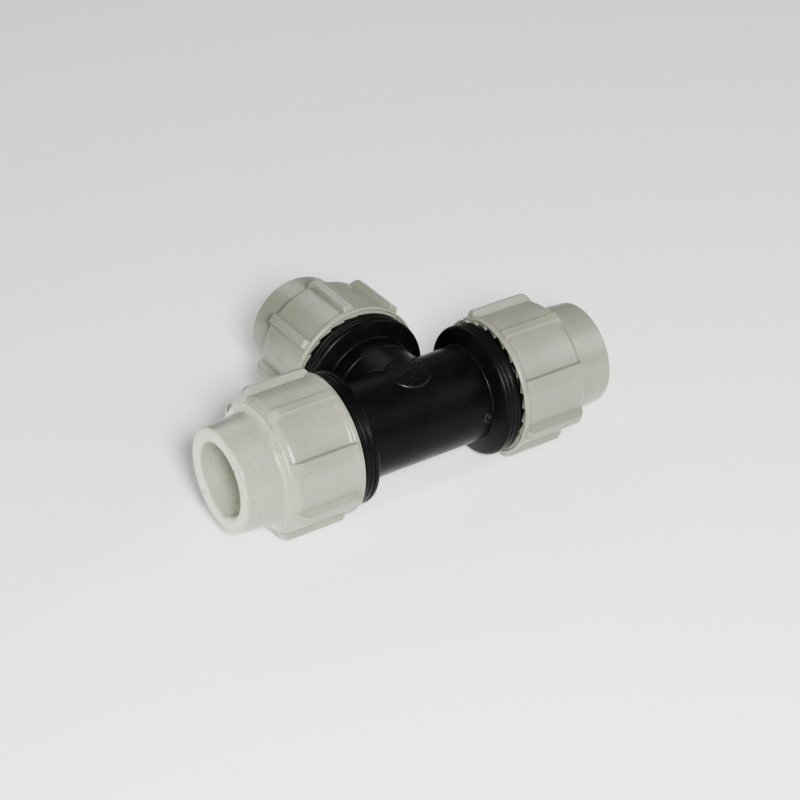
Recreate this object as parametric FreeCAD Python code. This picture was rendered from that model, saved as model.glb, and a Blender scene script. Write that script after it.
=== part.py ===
import FreeCAD, Part
import math
import os

from FreeCAD import Matrix, Vector

# Equal compression tee for 32 mm polyethylene water pipe, in millimetres.
# The run lies along X, the branch points along +Y and +Z is up. Each port is built on its own
# axis first: u is the distance out from the crossing of the three pipe axes, local +X is up.
# The row's origin is under the middle of the fitting, on the surface that it rests on.

# The pipe that fits
PIPE_BORE_R = 16.4
WATERWAY_R = 13.0
PIPE_STOP_U = 22.0

# Body: tubes, collars and threaded spigots
RUN_TUBE_R = 21.2
BRANCH_TUBE_R = 20.8
BLEND_R = 4.0
COLLAR_FACE_U = 30.0
COLLAR_R = 29.0
COLLAR_BACK_U = 38.8
COLLAR_BEVEL = 1.9
COLLAR_BAND_END_U = 34.2
COLLAR_GROOVE_R = 28.2
COLLAR_RIDGE_R = 28.8
COLLAR_RIDGE_STARTS = (34.9, 37.1)
COLLAR_RIDGE_WIDTH = 1.55
COLLAR_RIDGE_SLOPE = 0.15
COLLAR_CORNER_R = 0.8
COLLAR_BEVEL_R = 1.7
COLLAR_BAND_EDGE_R = 0.3
COLLAR_RIDGE_EDGE_R = 0.35
TUBE_END_BEVEL = 0.5
TUBE_OVERLAP = 2.0
SPIGOT_R = 24.0
SPIGOT_END_U = 59.0
SPIGOT_BEVEL = 0.8
SOCKET_LEAD_IN = 0.7

# Screw thread, shared by the spigot and the nut
THREAD_PITCH = 6.0
THREAD_START_U = 43.0
THREAD_END_U = 55.8
THREAD_CREST_R = 26.0
THREAD_CREST_WIDTH = 1.5
THREAD_FLANK = 0.8
THREAD_SIDE_GAP = 0.4
THREAD_TIP_GAP = 0.4
THREAD_ROOT_SINK = 0.6
NUT_THREAD_END_U = 57.8
NUT_MINOR_R = 24.5

# Seal and pressure bush, in the mouth of the spigot
SEAL_SEAT_U = 48.5
SEAL_SEAT_R = 20.95
O_RING_WIRE_R = 2.2
O_RING_MEAN_R = 18.55
O_RING_SEAT_GAP = 0.1
BUSH_START_U = 53.3
BUSH_BARREL_R = 20.75
BUSH_BORE_R = 16.6
BUSH_FLANGE_R = 22.8
BUSH_FLANGE_U = 59.15
BUSH_END_U = 61.2
BUSH_NOSE_EDGE_R = 0.4
BUSH_FLANGE_EDGE_R = 0.3
BUSH_FACE_EDGE_R = 0.5

# Split grip ring and the cone in the nut that closes it
CONE_WIDE_U = 62.2
CONE_WIDE_R = 23.5
CONE_NARROW_U = 76.4
CONE_NARROW_R = 19.3
GRIP_GAP = 0.4
GRIP_START_U = 61.7
GRIP_BORE_R = 16.75
GRIP_BORE_FLARE = 0.4
GRIP_LEAD_IN = 0.7
GRIP_BEVEL = 1.2
GRIP_EDGE_R = 0.3
GRIP_NOSE_EDGE_R = 0.5
GRIP_TOOTH_R = 16.25
GRIP_TOOTH_PITCH = 1.6
GRIP_TOOTH_FACE = 0.4
GRIP_TOOTH_COUNT = 5
GRIP_TEETH_START_U = 62.5
GRIP_SLIT = 3.0

# Nut: its rim faces the collar, its far end takes the pipe
NUT_RIM_U = 39.95
NUT_END_U = 91.0
NUT_LIP_R = 30.7
NUT_PANEL_R = 29.5
NUT_MOUTH_R = 27.0
NUT_MOUTH_DEPTH = 3.0
NUT_LIP_WIDTH = 2.2
NUT_PANEL_START = 3.6
NUT_NECK_R = 24.1
NUT_TIP_R = 22.75
NUT_TIP_BEVEL = 1.0
NUT_TIP_SLOPE = 0.2
NUT_WALL_SLOPE = 0.1
NUT_MOUTH_STEP = 1.4
CONE_STEP = 0.6

# Rounded corners of the nut
NUT_RIM_EDGE_R = 0.3
NUT_LIP_RIM_R = 0.9
NUT_LIP_BACK_R = 0.8
NUT_LIP_ROOT_R = 1.5
PANEL_EDGE_R = 3.0
CREASE_R = 0.2
SHOULDER_EDGE_R = 0.3
NECK_ROOT_R = 2.2
NUT_TIP_EDGE_R = 1.2
NUT_MOUTH_EDGE_R = 1.3
CONE_EDGE_R = 0.3

# Lengths along the nut, back from its pipe end: neck, flare, crease ring and the panels' rounded edge
NUT_NECK_LENGTH = 17.2
SHOULDER_LENGTH = 18.3
SHOULDER_R = 27.6
CREASE_LENGTH = 18.9
PANEL_EDGE_LENGTH = 20.7
PANEL_EDGE_DROP = 1.4

# Grip ribs on the nut: the crest's far end slopes down to the shoulder, its near end to the rim
RIB_COUNT = 8
RIB_TOP_R = 33.0
RIB_KNEE_R = 32.0
RIB_ROOT_R = 28.0
RIB_TOP_HALF_WIDTH = 2.1
RIB_KNEE_HALF_WIDTH = 2.2
RIB_ROOT_HALF_WIDTH = 2.55
RIB_RIM_ENDS = (0.9, 1.8, 2.7)
RIB_SHOULDER_ENDS = (18.8, 20.8, 22.2)
RIB_EDGE_R = 0.55

# Saw teeth round the nut's rim
TOOTH_COUNT = 25
TOOTH_TIP_U = 40.3
TOOTH_DEPTH = 1.6
TOOTH_LAND = 0.05
TOOTH_RING_R = 29.6

# How far a cutting shape reaches past what it cuts
CUT_PAST = 1.5

# Where each nut has stopped, as the angle of its first rib from straight up, about the port's axis
CLOCK_DEG = {"right": 19.2, "left": -18.8, "branch": -4.5}
OUTWARD = {"right": Vector(1, 0, 0), "left": Vector(-1, 0, 0), "branch": Vector(0, 1, 0)}

# Marks on the body: a blank round pad on the crown and the scar of the moulding gate
PAD_R = 10.0
PAD_RISE = 0.35
GATE_U = 27.4
GATE_R = 2.8
GATE_RISE = 0.7
GATE_TAPER = 0.5
GATE_DEPTH = 2.0
GATE_NUB_R = 1.0
GATE_NUB_RISE = 0.5
GATE_NUB_SHIFT = 0.4
GATE_NUB_TAPER = 0.3


def rib_reach(clock_deg, direction_deg):
    """How far the outermost rounded rib corner reaches in a direction, both angles from local up."""
    reach = 0.0
    for index in range(RIB_COUNT):
        rib_deg = clock_deg + index * 360.0 / RIB_COUNT
        off = math.radians(abs((rib_deg - direction_deg + 180.0) % 360.0 - 180.0))
        if off < math.pi / 2:
            high = (RIB_TOP_R - RIB_EDGE_R) * math.cos(off)
            aside = (RIB_TOP_HALF_WIDTH - RIB_EDGE_R) * math.sin(off)
            reach = max(reach, high + aside + RIB_EDGE_R)
    return reach


AXIS_HEIGHT = max(rib_reach(angle, 180.0) for angle in CLOCK_DEG.values())
FRONT_REACH = rib_reach(CLOCK_DEG["right"], 90.0)
RUN_Y = (FRONT_REACH - NUT_END_U) / 2
CENTRE = Vector(0, RUN_Y, AXIS_HEIGHT)


def revolved(start, *path):
    """Solid of revolution about the port's axis. Points are (radius, u); a triple is an arc's end
    with the point it passes through: (radius, u, (radius, u))."""
    edges = []
    here = Vector(start[0], 0, start[1])
    first = here
    for step in path:
        there = Vector(step[0], 0, step[1])
        if len(step) == 3:
            middle = Vector(step[2][0], 0, step[2][1])
            edges.append(Part.Arc(here, middle, there).toShape())
        else:
            edges.append(Part.LineSegment(here, there).toShape())
        here = there
    if here.distanceToPoint(first) > 1e-6:
        edges.append(Part.LineSegment(here, first).toShape())
    face = Part.Face(Part.Wire(edges))
    return face.revolve(Vector(0, 0, 0), Vector(0, 0, 1), 360)


def round_corner(before, corner, after, radius):
    """An arc's start and its (radius, u, mid) step, for a rounded corner in a profile."""
    a = Vector(before[0], 0, before[1])
    b = Vector(corner[0], 0, corner[1])
    c = Vector(after[0], 0, after[1])
    to_a = (a - b).normalize()
    to_c = (c - b).normalize()
    half = to_a.getAngle(to_c) / 2
    run = radius / math.tan(half)
    start = b + to_a * run
    end = b + to_c * run
    heart = b + (to_a + to_c).normalize() * (radius / math.sin(half))
    middle = heart + (b - heart).normalize() * radius
    return (start.x, start.z), (end.x, end.z, (middle.x, middle.z))


def rounded_profile(points):
    """Profile steps from corners given as (r, u) or, to be rounded, (r, u, corner radius)."""
    steps = []
    for index, point in enumerate(points):
        if len(point) == 2:
            steps.append(point)
        else:
            steps.extend(round_corner(points[index - 1], point, points[(index + 1) % len(points)], point[2]))
    return steps


def turned(points):
    steps = rounded_profile(points)
    return revolved(steps[0], *steps[1:])


def bored(radius, low_u, high_u):
    return Part.makeCylinder(radius, high_u - low_u, Vector(0, 0, low_u))


def helix_band(root_r, crest_r, root_width, crest_width, low_u, high_u):
    """A right-hand thread with a trapezoid section, whose helix crosses local +X at THREAD_START_U."""
    height = high_u - low_u
    section = [
        (root_r, -root_width / 2),
        (root_r, root_width / 2),
        (crest_r, crest_width / 2),
        (crest_r, -crest_width / 2),
    ]
    rails = []
    for radius, offset in section:
        rail = Part.makeHelix(THREAD_PITCH, height, radius).Edges[0]
        rail.translate(Vector(0, 0, low_u + offset))
        rails.append(rail)
    faces = []
    for index, rail in enumerate(rails):
        faces.extend(Part.makeRuledSurface(rail, rails[(index + 1) % len(rails)]).Faces)
    for end_u in (low_u, high_u):
        turn = 2 * math.pi * (end_u - low_u) / THREAD_PITCH
        corners = []
        for radius, offset in section:
            corners.append(Vector(radius * math.cos(turn), radius * math.sin(turn), end_u + offset))
        faces.append(Part.Face(Part.makePolygon(corners + corners[:1])))
    shell = Part.Shell(faces)
    shell.sewShape()
    band = Part.makeSolid(shell.removeSplitter().Shells[0])
    if band.Volume < 0:
        band.reverse()
    start_deg = 360 * (low_u - THREAD_START_U) / THREAD_PITCH
    band.rotate(Vector(0, 0, 0), Vector(0, 0, 1), start_deg)
    return band


def thread_width(radius):
    """Width of the spigot's thread at a radius."""
    return THREAD_CREST_WIDTH + THREAD_FLANK * (THREAD_CREST_R - radius)


def spigot_thread():
    root_r = SPIGOT_R - THREAD_ROOT_SINK
    return helix_band(
        root_r, THREAD_CREST_R, thread_width(root_r), THREAD_CREST_WIDTH, THREAD_START_U, THREAD_END_U
    )


def cut_nut_thread(shape):
    """The shape less the space that the spigot's thread runs in, cut one turn at a time."""
    inner_r = NUT_MINOR_R - THREAD_ROOT_SINK
    outer_r = THREAD_CREST_R + THREAD_TIP_GAP
    inner_width = thread_width(inner_r) + 2 * THREAD_SIDE_GAP
    outer_width = thread_width(outer_r) + 2 * THREAD_SIDE_GAP
    low_u = THREAD_START_U - THREAD_PITCH / 2
    while low_u < NUT_THREAD_END_U:
        high_u = min(low_u + THREAD_PITCH, NUT_THREAD_END_U)
        shape = shape.cut(helix_band(inner_r, outer_r, inner_width, outer_width, low_u, high_u))
        low_u = high_u
    return shape


def port_outside():
    """Collar with its ridges and spigot with its thread, for one port, solid."""
    outline = [
        (0.0, PIPE_STOP_U),
        (RUN_TUBE_R - TUBE_END_BEVEL, PIPE_STOP_U),
        (RUN_TUBE_R, PIPE_STOP_U + TUBE_END_BEVEL),
        (RUN_TUBE_R, COLLAR_FACE_U, COLLAR_CORNER_R),
        (COLLAR_R, COLLAR_FACE_U + COLLAR_BEVEL, COLLAR_BEVEL_R),
        (COLLAR_R, COLLAR_BAND_END_U, COLLAR_BAND_EDGE_R),
        (COLLAR_GROOVE_R, COLLAR_BAND_END_U + COLLAR_RIDGE_SLOPE),
    ]
    for start_u in COLLAR_RIDGE_STARTS:
        end_u = start_u + COLLAR_RIDGE_WIDTH
        outline.append((COLLAR_GROOVE_R, start_u - COLLAR_RIDGE_SLOPE))
        outline.append((COLLAR_RIDGE_R, start_u, COLLAR_RIDGE_EDGE_R))
        outline.append((COLLAR_RIDGE_R, end_u, COLLAR_RIDGE_EDGE_R))
        outline.append((COLLAR_GROOVE_R, end_u + COLLAR_RIDGE_SLOPE))
    outline += [
        (SPIGOT_R, COLLAR_BACK_U, COLLAR_CORNER_R),
        (SPIGOT_R, SPIGOT_END_U - SPIGOT_BEVEL),
        (SPIGOT_R - SPIGOT_BEVEL, SPIGOT_END_U),
        (0.0, SPIGOT_END_U),
    ]
    return turned(outline).fuse(spigot_thread())


def port_inside():
    """The space inside one port: waterway, pipe socket and the seat for the seal and bush."""
    return turned(
        [
            (0.0, 0.0),
            (WATERWAY_R, 0.0),
            (WATERWAY_R, PIPE_STOP_U),
            (PIPE_BORE_R, PIPE_STOP_U),
            (PIPE_BORE_R, SEAL_SEAT_U),
            (SEAL_SEAT_R, SEAL_SEAT_U),
            (SEAL_SEAT_R, SPIGOT_END_U - SOCKET_LEAD_IN),
            (SEAL_SEAT_R + SOCKET_LEAD_IN, SPIGOT_END_U),
            (SEAL_SEAT_R + SOCKET_LEAD_IN, SPIGOT_END_U + CUT_PAST),
            (0.0, SPIGOT_END_U + CUT_PAST),
        ]
    )


def crown_pad():
    """Blank round pad on top of the crossing, a little proud of both tubes."""
    post = Part.makeCylinder(PAD_R, RUN_TUBE_R, Vector(0, 0, RUN_TUBE_R / 2))
    run = Part.makeCylinder(RUN_TUBE_R + PAD_RISE, 4 * PAD_R, Vector(-2 * PAD_R, 0, 0), Vector(1, 0, 0))
    branch = Part.makeCylinder(BRANCH_TUBE_R + PAD_RISE, 2 * PAD_R, Vector(0, 0, 0), Vector(0, 1, 0))
    return run.fuse(branch).common(post)


def gate_scar():
    """Low round boss on the front of the run, with the snapped-off gate on it."""
    front = Vector(0, -1, 0)
    root_y = GATE_DEPTH - RUN_TUBE_R
    length = GATE_DEPTH + GATE_RISE
    boss = Part.makeCone(GATE_R, GATE_R - GATE_TAPER, length, Vector(GATE_U, root_y, 0), front)
    nub_root = Vector(GATE_U, root_y, GATE_NUB_SHIFT)
    nub_tip_r = GATE_NUB_R - GATE_NUB_TAPER
    nub = Part.makeCone(GATE_NUB_R, nub_tip_r, length + GATE_NUB_RISE, nub_root, front)
    return boss.fuse(nub)


def tee_body():
    """The moulded tee, with its crossing still at the world origin."""
    reach = PIPE_STOP_U + TUBE_OVERLAP
    run = Part.makeCylinder(RUN_TUBE_R, 2 * reach, Vector(-reach, 0, 0), Vector(1, 0, 0))
    branch = Part.makeCylinder(BRANCH_TUBE_R, reach, Vector(0, 0, 0), Vector(0, 1, 0))
    tubes = run.fuse(branch)
    seam = [edge for edge in tubes.Edges if type(edge.Curve).__name__ == "BSplineCurve"]
    body = tubes.makeFillet(BLEND_R, seam)
    body = body.fuse([crown_pad(), gate_scar()])
    outside = port_outside()
    inside = port_inside()
    for port in OUTWARD:
        body = body.fuse(on_port(outside, port, at_origin=True))
    for port in OUTWARD:
        body = body.cut(on_port(inside, port, at_origin=True))
    body.translate(CENTRE)
    return body


def o_ring():
    middle_u = SEAL_SEAT_U + O_RING_WIRE_R + O_RING_SEAT_GAP
    return Part.makeTorus(O_RING_MEAN_R, O_RING_WIRE_R, Vector(0, 0, middle_u))


def pressure_bush():
    """Flanged bush that the grip ring pushes against the seal."""
    return turned(
        [
            (BUSH_BORE_R, BUSH_START_U, BUSH_NOSE_EDGE_R),
            (BUSH_BARREL_R, BUSH_START_U, BUSH_NOSE_EDGE_R),
            (BUSH_BARREL_R, BUSH_FLANGE_U),
            (BUSH_FLANGE_R, BUSH_FLANGE_U, BUSH_FLANGE_EDGE_R),
            (BUSH_FLANGE_R, BUSH_END_U, BUSH_FACE_EDGE_R),
            (BUSH_BORE_R, BUSH_END_U, BUSH_FACE_EDGE_R),
        ]
    )


def cone_radius(u):
    """Radius of the nut's inner cone at u."""
    share = (u - CONE_WIDE_U) / (CONE_NARROW_U - CONE_WIDE_U)
    return CONE_WIDE_R + share * (CONE_NARROW_R - CONE_WIDE_R)


def grip_ring():
    """Split cone with buttress teeth inside, and a smooth lead-in at the pipe's end."""
    end_u = CONE_NARROW_U - GRIP_GAP
    bevel_u = GRIP_START_U + GRIP_BEVEL
    bevel_r = cone_radius(bevel_u) - GRIP_GAP
    outline = [
        (GRIP_BORE_R + GRIP_BORE_FLARE, GRIP_START_U),
        (bevel_r - GRIP_EDGE_R, GRIP_START_U, GRIP_EDGE_R),
        (bevel_r, bevel_u),
        (cone_radius(end_u) - GRIP_GAP, end_u, GRIP_NOSE_EDGE_R),
        (GRIP_BORE_R + GRIP_LEAD_IN, end_u, GRIP_EDGE_R),
        (GRIP_BORE_R, end_u - GRIP_BEVEL),
    ]
    tooth_u = GRIP_TEETH_START_U + GRIP_TOOTH_COUNT * GRIP_TOOTH_PITCH
    for _ in range(GRIP_TOOTH_COUNT):
        outline.append((GRIP_BORE_R, tooth_u))
        outline.append((GRIP_TOOTH_R, tooth_u - GRIP_TOOTH_PITCH + GRIP_TOOTH_FACE))
        tooth_u -= GRIP_TOOTH_PITCH
    outline.append((GRIP_BORE_R, GRIP_TEETH_START_U))
    ring = turned(outline)
    length = end_u - GRIP_START_U + 2 * CUT_PAST
    slit = Part.makeBox(CONE_WIDE_R, GRIP_SLIT, length, Vector(0, -GRIP_SLIT / 2, GRIP_START_U - CUT_PAST))
    return ring.cut(slit)


def nut_shell():
    """The nut's turned shape: rim lip, panel, shoulder and neck outside, cone and bores inside."""
    end_u = NUT_END_U
    return turned(
        [
            (TOOTH_RING_R, NUT_RIM_U, NUT_RIM_EDGE_R),
            (NUT_LIP_R, NUT_RIM_U, NUT_LIP_RIM_R),
            (NUT_LIP_R, NUT_RIM_U + NUT_LIP_WIDTH, NUT_LIP_BACK_R),
            (NUT_PANEL_R + NUT_WALL_SLOPE, NUT_RIM_U + NUT_PANEL_START, NUT_LIP_ROOT_R),
            (NUT_PANEL_R, end_u - PANEL_EDGE_LENGTH, PANEL_EDGE_R),
            (NUT_PANEL_R - PANEL_EDGE_DROP, end_u - CREASE_LENGTH, CREASE_R),
            (SHOULDER_R, end_u - CREASE_LENGTH, CREASE_R),
            (SHOULDER_R, end_u - SHOULDER_LENGTH, SHOULDER_EDGE_R),
            (NUT_NECK_R, end_u - NUT_NECK_LENGTH, NECK_ROOT_R),
            (NUT_TIP_R + NUT_WALL_SLOPE, end_u - NUT_TIP_BEVEL),
            (NUT_TIP_R - NUT_TIP_SLOPE, end_u, NUT_TIP_EDGE_R),
            (PIPE_BORE_R, end_u, NUT_MOUTH_EDGE_R),
            (PIPE_BORE_R, CONE_NARROW_U),
            (CONE_NARROW_R, CONE_NARROW_U, CONE_EDGE_R),
            (CONE_WIDE_R, CONE_WIDE_U),
            (NUT_MINOR_R, CONE_WIDE_U - CONE_STEP),
            (NUT_MINOR_R, NUT_RIM_U + NUT_MOUTH_DEPTH + NUT_MOUTH_STEP),
            (NUT_MOUTH_R, NUT_RIM_U + NUT_MOUTH_DEPTH),
            (NUT_MOUTH_R, TOOTH_TIP_U),
            (TOOTH_RING_R, TOOTH_TIP_U),
        ]
    )


def nut_rib():
    """One grip rib with rounded edges, standing on local +X and sunk a little into the panel."""
    radii = (RIB_ROOT_R, RIB_KNEE_R, RIB_TOP_R)
    half_widths = (RIB_ROOT_HALF_WIDTH, RIB_KNEE_HALF_WIDTH, RIB_TOP_HALF_WIDTH)
    outlines = []
    for radius, half, from_rim, from_end in zip(radii, half_widths, RIB_RIM_ENDS, RIB_SHOULDER_ENDS):
        rim_u = NUT_RIM_U + from_rim
        shoulder_u = NUT_END_U - from_end
        corners = [
            Vector(radius, -half, rim_u),
            Vector(radius, half, rim_u),
            Vector(radius, half, shoulder_u),
            Vector(radius, -half, shoulder_u),
        ]
        outlines.append(Part.makePolygon(corners + corners[:1]))
    rib = Part.makeLoft(outlines, True, True)
    edges = []
    for edge in rib.Edges:
        if edge.BoundBox.XMax > (RIB_KNEE_R + RIB_TOP_R) / 2:
            edges.append(edge)
    return rib.makeFillet(RIB_EDGE_R, edges)


def tooth_space(index):
    """What is cut from the nut's end between two saw teeth: a ramp that gets shallower, then a step."""
    pitch = 2 * math.pi / TOOTH_COUNT
    reach = TOOTH_RING_R + CUT_PAST
    outlines = []
    for radius in (NUT_MOUTH_R - CUT_PAST, reach):
        half = radius * math.tan(pitch / 2)
        corners = [
            Vector(radius, -half, NUT_RIM_U - CUT_PAST),
            Vector(radius, half, NUT_RIM_U - CUT_PAST),
            Vector(radius, half, TOOTH_TIP_U + TOOTH_LAND),
            Vector(radius, -half, TOOTH_TIP_U + TOOTH_DEPTH),
        ]
        outlines.append(Part.makePolygon(corners + corners[:1]))
    space = Part.makeLoft(outlines, True, True)
    space = space.common(bored(TOOTH_RING_R, NUT_RIM_U - 2 * CUT_PAST, TOOTH_TIP_U + 2 * TOOTH_DEPTH))
    space.rotate(Vector(0, 0, 0), Vector(0, 0, 1), math.degrees(pitch) * index)
    return space


def nut():
    shell = nut_shell()
    ribs = []
    for index in range(RIB_COUNT):
        rib = nut_rib()
        rib.rotate(Vector(0, 0, 0), Vector(0, 0, 1), index * 360.0 / RIB_COUNT)
        ribs.append(rib)
    outside = shell.fuse(ribs)
    spaces = [tooth_space(index) for index in range(TOOTH_COUNT)]
    return outside.cut(spaces)


def on_port(shape, port, at_origin=False):
    """A shape from a port's own axes, moved to that port."""
    outward = OUTWARD[port]
    up = Vector(0, 0, 1)
    side = outward.cross(up)
    base = Vector(0, 0, 0) if at_origin else CENTRE
    matrix = Matrix(
        up.x, side.x, outward.x, base.x,
        up.y, side.y, outward.y, base.y,
        up.z, side.z, outward.z, base.z,
        0, 0, 0, 1,
    )
    placed = shape.copy()
    placed.Placement = FreeCAD.Placement(matrix)
    return placed


def save(shape, node):
    solids = shape.Solids
    if not shape.isValid() or len(solids) != 1:
        raise ValueError(f"{node}: valid {shape.isValid()}, {len(solids)} solids")
    solids[0].exportStep(os.path.join("parts", node + ".step"))
    print(f"{node}: {solids[0].Volume:.0f} mm3")


os.makedirs("parts", exist_ok=True)
print(f"crossing of the axes at y {RUN_Y:.3f}, z {AXIS_HEIGHT:.3f}")
save(tee_body(), "tee_body")
unthreaded_nut = nut()
seal = o_ring()
bush = pressure_bush()
grip = grip_ring()
for port, clock in CLOCK_DEG.items():
    clocked = unthreaded_nut.copy()
    clocked.rotate(Vector(0, 0, 0), Vector(0, 0, 1), clock)
    save(on_port(cut_nut_thread(clocked), port), port + "_nut")
    save(on_port(grip, port), port + "_grip_ring")
    save(on_port(bush, port), port + "_pressure_bush")
    save(on_port(seal, port), port + "_o_ring")
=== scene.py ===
import bpy
import math

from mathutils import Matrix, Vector


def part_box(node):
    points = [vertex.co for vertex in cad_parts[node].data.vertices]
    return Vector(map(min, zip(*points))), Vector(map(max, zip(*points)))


# Looks of an equal compression tee: black moulded body, three ribbed grey nuts. Metres throughout.
PORTS = ("left", "right", "branch")

# The camera, from the crossing of the three pipe axes
CAMERA_FROM_CROSSING = Vector((-0.43385, -0.65204, 0.50886))
TARGET_FROM_CROSSING = Vector((-0.00083, 0.00422, 0.00478))
CAMERA_LENS_MM = 99.43
CAMERA_SENSOR_MM = 36.0

FLOOR_SIZE = 6.0
FLOOR_COLOUR = (0.93, 0.93, 0.92, 1)
FLOOR_ROUGHNESS = 0.9
SKY_COLOUR = (0.95, 0.97, 1.0, 1)
SKY_STRENGTH = 0.32

# Soft round lights: place from what they are aimed at, width, watts
KEY_LIGHT = ((-0.30, -0.62, 0.46), 0.16, 26.0)
FILL_LIGHT = ((0.9, -0.5, 0.6), 0.7, 9.0)
BACK_LIGHT = ((0.2, 0.9, 0.8), 0.7, 4.0)
# A narrow beam into the left nut
MOUTH_LIGHT = ((-0.6, -0.12, 0.10), 0.05, 0.10)
MOUTH_BEAM_DEG = 7
WIDE_BEAM_DEG = 180

# Colours
NUT_DARK = (0.112, 0.114, 0.084, 1)
NUT_LIGHT = (0.136, 0.138, 0.104, 1)
NUT_SPECK = (0.10, 0.095, 0.075, 1)
# A painted highlight: paler colour on the nut's rounded edges
NUT_PAINTED_HIGHLIGHT = (0.26, 0.26, 0.23, 1)
# Painted shade: darker colour in the nut's corners and creases
NUT_PAINTED_SHADE = (0.03, 0.027, 0.018, 1)
BODY_DARK = (0.0008, 0.0010, 0.0008, 1)
BODY_LIGHT = (0.0016, 0.0019, 0.0016, 1)
BODY_DUST = (0.02, 0.02, 0.018, 1)
# A painted highlight: paler colour on the body's rounded edges
BODY_PAINTED_HIGHLIGHT = (0.015, 0.015, 0.014, 1)
PAD_FLECK = (0.03, 0.03, 0.027, 1)
GRIP_COLOURS = ((0.60, 0.60, 0.56, 1), (0.70, 0.70, 0.66, 1))
BUSH_COLOURS = ((0.012, 0.012, 0.012, 1), (0.02, 0.02, 0.02, 1))
SEAL_COLOURS = ((0.008, 0.008, 0.008, 1), (0.014, 0.014, 0.014, 1))

# Surfaces
NUT_IOR = 1.49
BODY_IOR = 1.45
BODY_SHINE = 0.045
BODY_EDGE_SHINE = 0.5
GRAIN_HEIGHT = 0.00003
NUT_WAVE_HEIGHT = 0.0002
BODY_WAVE_HEIGHT = 0.0003
NUT_EDGE_R = 0.0005
BODY_EDGE_R = 0.0004
INNER_EDGE_R = 0.0003
# How far the painted shade in the nut's corners reaches
CREVICE_REACH = 0.0018
SHADER_SAMPLES = 8
# How alike the rounded and true normals are on a face and on an edge, and how open a face and a crevice are
EDGE_LEAN = (1.0, 0.75)
CREVICE_SHADE = (0.80, 0.35)

# Where a noise starts and ends when it is spread to 0 and 1
MOTTLE = (0.35, 0.70)
BROAD = (0.30, 0.70)
SPECKS = (0.68, 0.78)
DUST = (0.60, 0.80)
FLECKS = (0.58, 0.70)
# How roughness varies over each surface
NUT_ROUGHNESS = (0.25, 0.36)
BODY_ROUGHNESS = (0.28, 0.40)
GRIP_ROUGHNESS = (0.35, 0.50)
BUSH_ROUGHNESS = (0.40, 0.55)
SEAL_ROUGHNESS = (0.50, 0.70)
# How much of each tint shows; the edge tints are painted highlights and the nut's corner tint is painted
# shade
NUT_SPECK_SHARE = 0.15
NUT_PAINTED_HIGHLIGHT_SHARE = 0.45
NUT_PAINTED_SHADE_SHARE = 0.8
BODY_DUST_SHARE = 0.15
BODY_PAINTED_HIGHLIGHT_SHARE = 0.25
PAD_FLECK_SHARE = 0.35

# The rough round pad on the crown: where it fades out, and how high above the axes it starts
PAD_PITS = 0.0007
PAD_OUTER_R = 0.0100
PAD_INNER_R = 0.0094
PAD_LOW = 0.015
PAD_HIGH = 0.017

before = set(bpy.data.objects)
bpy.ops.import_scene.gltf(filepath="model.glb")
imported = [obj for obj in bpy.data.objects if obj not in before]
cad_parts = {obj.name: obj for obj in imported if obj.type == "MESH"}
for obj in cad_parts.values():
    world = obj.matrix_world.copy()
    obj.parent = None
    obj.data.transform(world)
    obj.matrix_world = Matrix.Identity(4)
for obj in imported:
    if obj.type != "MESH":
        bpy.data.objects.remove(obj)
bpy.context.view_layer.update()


def middle(node):
    low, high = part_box(node)
    return (low + high) / 2


CROSSING = Vector((middle("branch_o_ring").x, middle("left_o_ring").y, middle("left_o_ring").z))


# ---------------------------------------------------------------- materials
class Nodes:
    """Short names for building one material's node tree."""

    def __init__(self, name):
        self.material = bpy.data.materials.new(name)
        self.material.use_nodes = True
        self.tree = self.material.node_tree
        self.shader = self.tree.nodes["Principled BSDF"]
        self.place = self.add("ShaderNodeTexCoord").outputs["Object"]

    def add(self, kind, inputs=None, **settings):
        node = self.tree.nodes.new(kind)
        for key, value in settings.items():
            setattr(node, key, value)
        for key, value in (inputs or {}).items():
            self.put(node.inputs[key], value)
        return node

    def put(self, socket, value):
        if isinstance(value, bpy.types.NodeSocket):
            self.tree.links.new(value, socket)
        else:
            socket.default_value = value

    def surface(self, **inputs):
        """Set the shader's sockets: base_color sets Base Color."""
        for key, value in inputs.items():
            self.put(self.shader.inputs[key.replace("_", " ").title()], value)

    def noise(self, scale, detail, roughness=0.55):
        inputs = {"Vector": self.place, "Scale": scale, "Detail": detail, "Roughness": roughness}
        return self.add("ShaderNodeTexNoise", inputs).outputs["Fac"]

    def ramp(self, value, low, high, to_low=0.0, to_high=1.0):
        inputs = {"Value": value, "From Min": low, "From Max": high, "To Min": to_low, "To Max": to_high}
        return self.add("ShaderNodeMapRange", inputs).outputs["Result"]

    def times(self, a, b):
        return self.add("ShaderNodeMath", {0: a, 1: b}, operation="MULTIPLY").outputs[0]

    def mix(self, share, a, b):
        inputs = {"Factor": share, "A": a, "B": b}
        return self.add("ShaderNodeMix", inputs, data_type="RGBA", blend_type="MIX").outputs["Result"]

    def vector(self, operation, a, b=None):
        inputs = {0: a} if b is None else {0: a, 1: b}
        return self.add("ShaderNodeVectorMath", inputs, operation=operation).outputs

    def bump(self, height, distance, strength, normal):
        inputs = {"Height": height, "Distance": distance, "Strength": strength, "Normal": normal}
        return self.add("ShaderNodeBump", inputs).outputs["Normal"]

    def rounded(self, radius):
        """The normal with edges rounded off."""
        inputs = {"Radius": radius}
        return self.add("ShaderNodeBevel", inputs, samples=SHADER_SAMPLES).outputs["Normal"]

    def lean(self, soft):
        """How far a rounded normal leans from the true one: 0 on a face, 1 on an edge."""
        true = self.add("ShaderNodeNewGeometry").outputs["Normal"]
        return self.ramp(self.vector("DOT_PRODUCT", soft, true)["Value"], *EDGE_LEAN)

    def crevice(self, distance):
        """How deep in a corner a point is: 0 in the open, 1 in a tight crevice."""
        inputs = {"Distance": distance}
        open_share = self.add("ShaderNodeAmbientOcclusion", inputs, samples=SHADER_SAMPLES).outputs["AO"]
        return self.ramp(open_share, *CREVICE_SHADE)


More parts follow.
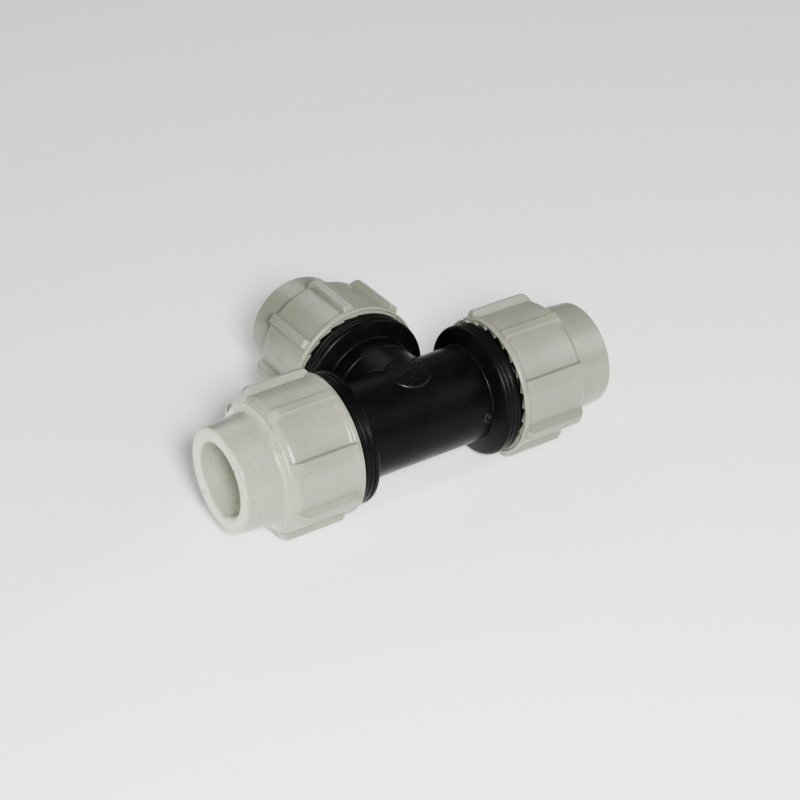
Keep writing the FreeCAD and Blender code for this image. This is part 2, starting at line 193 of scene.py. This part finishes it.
def nut_material():
    """Light grey plastic: mottled and specked, with a painted highlight on its edges and painted shade in
    its corners.
    """
    n = Nodes("nut_grey")
    soft = n.rounded(NUT_EDGE_R)
    colour = n.mix(n.ramp(n.noise(scale=55, detail=3), *MOTTLE), NUT_DARK, NUT_LIGHT)
    specks = n.ramp(n.noise(scale=900, detail=2), *SPECKS)
    colour = n.mix(n.times(specks, NUT_SPECK_SHARE), colour, NUT_SPECK)
    # Painted highlight: paler colour on the rounded edges
    colour = n.mix(n.times(n.lean(soft), NUT_PAINTED_HIGHLIGHT_SHARE), colour, NUT_PAINTED_HIGHLIGHT)
    # Painted shade: darker colour where the occlusion sample finds a corner or crease
    colour = n.mix(n.times(n.crevice(CREVICE_REACH), NUT_PAINTED_SHADE_SHARE), colour, NUT_PAINTED_SHADE)
    grain = n.bump(n.noise(scale=1800, detail=3), GRAIN_HEIGHT, strength=0.5, normal=soft)
    wave = n.bump(n.noise(scale=120, detail=2), NUT_WAVE_HEIGHT, strength=0.25, normal=grain)
    rough = n.ramp(n.noise(scale=160, detail=5), *BROAD, *NUT_ROUGHNESS)
    n.surface(base_color=colour, roughness=rough, normal=wave)
    n.shader.inputs["IOR"].default_value = NUT_IOR
    return n.material


def crown_mask(n):
    """1 on the rough round pad on the crown, 0 elsewhere on the body."""
    away = n.vector("SUBTRACT", n.place, CROSSING)["Vector"]
    level = n.vector("MULTIPLY", away, (1, 1, 0))["Vector"]
    inside = n.ramp(n.vector("LENGTH", level)["Value"], PAD_OUTER_R, PAD_INNER_R)
    height = n.add("ShaderNodeSeparateXYZ", {"Vector": away}).outputs["Z"]
    return n.times(inside, n.ramp(height, PAD_LOW, PAD_HIGH))


def body_material():
    """Near-black satin plastic, a little dusty, shinier on its edges and lighter there by a painted
    highlight, with a rough pad on the crown.
    """
    n = Nodes("body_black")
    soft = n.rounded(BODY_EDGE_R)
    edge = n.lean(soft)
    pad = crown_mask(n)
    colour = n.mix(n.ramp(n.noise(scale=70, detail=4), *MOTTLE), BODY_DARK, BODY_LIGHT)
    dust = n.ramp(n.noise(scale=420, detail=5, roughness=0.7), *DUST)
    colour = n.mix(n.times(dust, BODY_DUST_SHARE), colour, BODY_DUST)
    # Painted highlight: paler colour on the rounded edges
    colour = n.mix(n.times(edge, BODY_PAINTED_HIGHLIGHT_SHARE), colour, BODY_PAINTED_HIGHLIGHT)
    flecks = n.times(n.ramp(n.noise(scale=600, detail=3, roughness=0.7), *FLECKS), pad)
    colour = n.mix(n.times(flecks, PAD_FLECK_SHARE), colour, PAD_FLECK)
    grain = n.bump(n.noise(scale=1500, detail=3), GRAIN_HEIGHT, strength=0.6, normal=soft)
    wave = n.bump(n.noise(scale=90, detail=2), BODY_WAVE_HEIGHT, strength=0.3, normal=grain)
    pits = n.times(n.noise(scale=700, detail=3), pad)
    pitted = n.bump(pits, PAD_PITS, strength=1.0, normal=wave)
    rough = n.ramp(n.noise(scale=140, detail=5), *BROAD, *BODY_ROUGHNESS)
    n.surface(base_color=colour, roughness=rough, normal=pitted)
    n.shader.inputs["IOR"].default_value = BODY_IOR
    shine = n.ramp(edge, 0.0, 1.0, BODY_SHINE, BODY_EDGE_SHINE)
    n.put(n.shader.inputs["Specular IOR Level"], shine)
    return n.material


def inner_material(name, colours, roughness):
    """Moulded plastic or rubber that is mostly hidden: mottled, with a fine grain."""
    n = Nodes(name)
    colour = n.mix(n.ramp(n.noise(scale=120, detail=4), *MOTTLE), *colours)
    rough = n.ramp(n.noise(scale=300, detail=4), *BROAD, *roughness)
    soft = n.rounded(INNER_EDGE_R)
    grain = n.bump(n.noise(scale=1600, detail=3), GRAIN_HEIGHT, strength=0.6, normal=soft)
    n.surface(base_color=colour, roughness=rough, normal=grain)
    return n.material


MATERIALS = {
    "tee_body": body_material(),
    "nut": nut_material(),
    "grip_ring": inner_material("grip_white", GRIP_COLOURS, GRIP_ROUGHNESS),
    "pressure_bush": inner_material("bush_black", BUSH_COLOURS, BUSH_ROUGHNESS),
    "o_ring": inner_material("seal_rubber", SEAL_COLOURS, SEAL_ROUGHNESS),
}

for node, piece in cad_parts.items():
    port, _, kind = node.partition("_")
    if port not in PORTS:
        kind = node
    piece.data.materials.clear()
    piece.data.materials.append(MATERIALS[kind])


# ---------------------------------------------------------------- stage
def floor():
    half = FLOOR_SIZE / 2
    mesh = bpy.data.meshes.new("floor")
    corners = [(-half, -half, 0), (half, -half, 0), (half, half, 0), (-half, half, 0)]
    mesh.from_pydata(corners, [], [(0, 1, 2, 3)])
    n = Nodes("floor_pale")
    n.surface(base_color=FLOOR_COLOUR, roughness=FLOOR_ROUGHNESS)
    mesh.materials.append(n.material)
    plane = bpy.data.objects.new("floor", mesh)
    bpy.context.scene.collection.objects.link(plane)


def look_at(thing, target):
    direction = target - thing.location
    thing.rotation_euler = direction.to_track_quat("-Z", "Y").to_euler()


def softbox(name, offset, size, watts, aim=CROSSING, beam_deg=WIDE_BEAM_DEG):
    light = bpy.data.lights.new(name, "AREA")
    light.shape = "DISK"
    light.size = size
    light.energy = watts
    light.spread = math.radians(beam_deg)
    lamp = bpy.data.objects.new(name, light)
    bpy.context.scene.collection.objects.link(lamp)
    lamp.location = aim + Vector(offset)
    look_at(lamp, aim)


floor()
softbox("key", *KEY_LIGHT)
softbox("fill", *FILL_LIGHT)
mouth = Vector((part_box("left_nut")[0].x, CROSSING.y, CROSSING.z))
softbox("mouth", *MOUTH_LIGHT, aim=mouth, beam_deg=MOUTH_BEAM_DEG)
softbox("back", *BACK_LIGHT)

world = bpy.data.worlds.new("sky")
world.use_nodes = True
background = world.node_tree.nodes["Background"]
background.inputs["Color"].default_value = SKY_COLOUR
background.inputs["Strength"].default_value = SKY_STRENGTH
bpy.context.scene.world = world

camera_data = bpy.data.cameras.new("camera")
camera_data.lens = CAMERA_LENS_MM
camera_data.sensor_width = CAMERA_SENSOR_MM
camera = bpy.data.objects.new("camera", camera_data)
bpy.context.scene.collection.objects.link(camera)
camera.location = CROSSING + CAMERA_FROM_CROSSING
look_at(camera, CROSSING + TARGET_FROM_CROSSING)
bpy.context.scene.camera = camera
